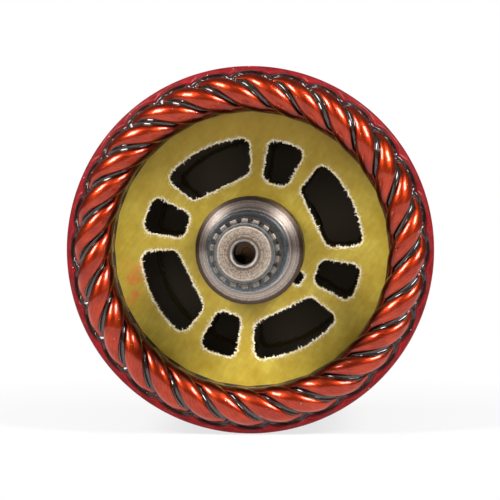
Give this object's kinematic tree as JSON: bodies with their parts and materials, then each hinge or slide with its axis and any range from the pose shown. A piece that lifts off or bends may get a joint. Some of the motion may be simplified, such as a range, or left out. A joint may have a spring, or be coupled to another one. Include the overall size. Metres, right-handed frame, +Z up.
{
  "type": "motor armature",
  "caption": "Armature of a direct-current motor: slotted laminated core with twisted copper hairpin coils, insulating end boards, moulded commutator and splined shaft with bearing seats.",
  "frame": {"origin": "on the shaft axis, middle of the drive bearing seat", "axes": "shaft along Y with its drive end toward -Y; +Z up, as the armature lies on a bench"},
  "size_m": [0.114, 0.2658, 0.114],
  "materials": {
    "machined_steel": "turned",
    "lamination_steel": "stacked sheet, varnished",
    "glass_laminate": "glass-fibre laminate",
    "slot_insulation": "pressed sheet",
    "enamelled_copper": "enamelled and varnished copper bar",
    "red_resin_glass": "resin-soaked glass tape",
    "commutator_copper": "turned copper",
    "mica": "mica sheet",
    "phenolic": "moulded resin"
  },
  "bodies": {
    "root": {"shaft": "machined_steel", "core_key": "machined_steel", "lamination_stack": "lamination_steel", "drive_end_board": "glass_laminate", "commutator_end_board": "glass_laminate", "slot_liners": "slot_insulation", "slot_wedges": "slot_insulation", "drive_end_band": "red_resin_glass", "commutator_end_band": "red_resin_glass", "drive_end_sleeve": "slot_insulation", "commutator_end_sleeve": "slot_insulation", "commutator_bars": "commutator_copper", "commutator_mica": "mica", "commutator_moulding": "phenolic", "commutator_bush": "machined_steel", "coil_01": "enamelled_copper", "coil_02": "enamelled_copper", "coil_03": "enamelled_copper", "coil_04": "enamelled_copper", "coil_05": "enamelled_copper", "coil_06": "enamelled_copper", "coil_07": "enamelled_copper", "coil_08": "enamelled_copper", "coil_09": "enamelled_copper", "coil_10": "enamelled_copper", "coil_11": "enamelled_copper", "coil_12": "enamelled_copper", "coil_13": "enamelled_copper", "coil_14": "enamelled_copper", "coil_15": "enamelled_copper", "coil_16": "enamelled_copper", "coil_17": "enamelled_copper", "coil_18": "enamelled_copper", "coil_19": "enamelled_copper", "coil_20": "enamelled_copper", "coil_21": "enamelled_copper", "coil_22": "enamelled_copper", "coil_23": "enamelled_copper", "coil_24": "enamelled_copper", "coil_25": "enamelled_copper", "coil_26": "enamelled_copper", "coil_27": "enamelled_copper", "coil_28": "enamelled_copper"}
  },
  "joints": []
}
